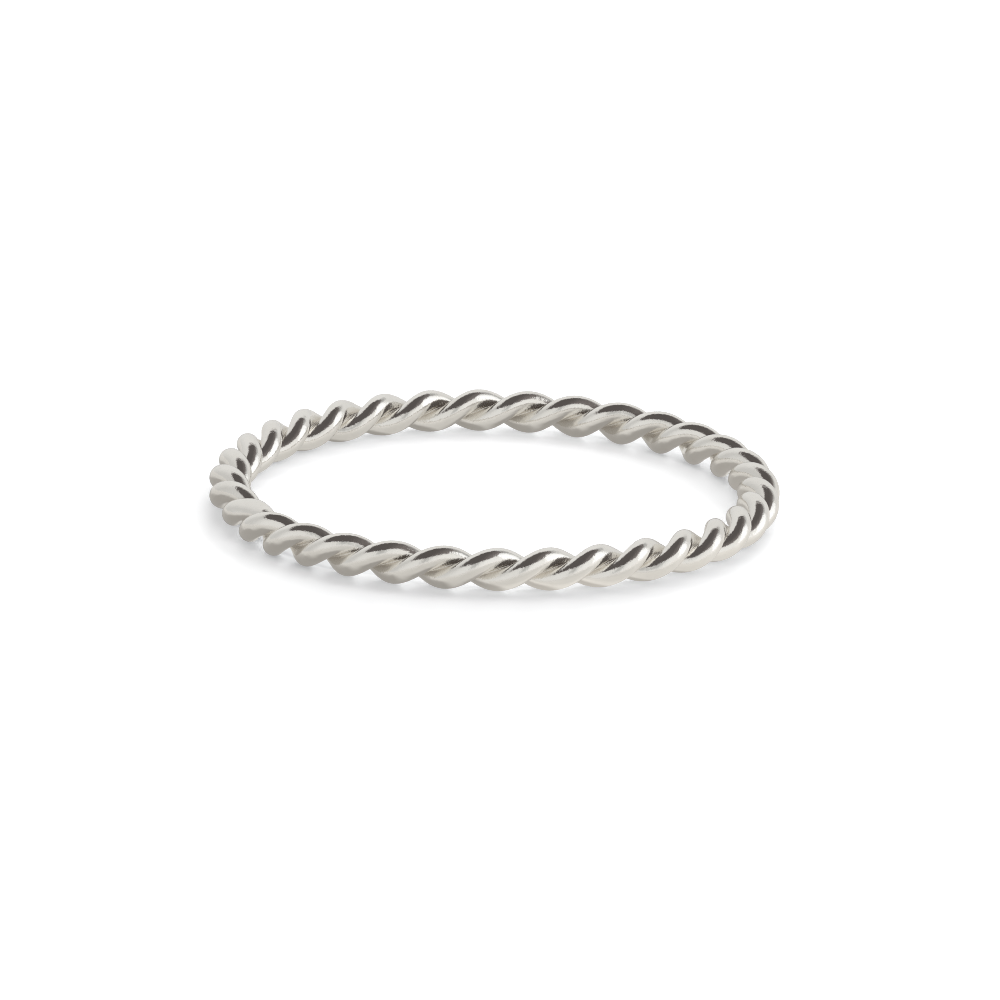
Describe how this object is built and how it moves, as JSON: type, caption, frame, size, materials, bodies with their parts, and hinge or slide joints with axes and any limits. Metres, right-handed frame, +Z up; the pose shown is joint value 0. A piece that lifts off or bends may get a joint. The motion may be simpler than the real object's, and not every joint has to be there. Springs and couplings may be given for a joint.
{
  "type": "twisted stacking ring",
  "caption": "Slim finger ring of two round silver wires twisted together like a rope and soldered into an endless band, worn alone or stacked with others.",
  "frame": {"origin": "on the surface that the ring lies on, under the middle of the finger hole", "axes": "+Z up along the finger hole's axis, -Y towards the side that the picture shows in front, +X to the picture's right"},
  "size_m": [0.0201, 0.0202, 0.0015],
  "materials": {
    "silver": "polished silver, with faint polishing marks and slightly darker grooves between the wires"
  },
  "bodies": {
    "root": {"twisted_band": "silver"}
  },
  "joints": []
}
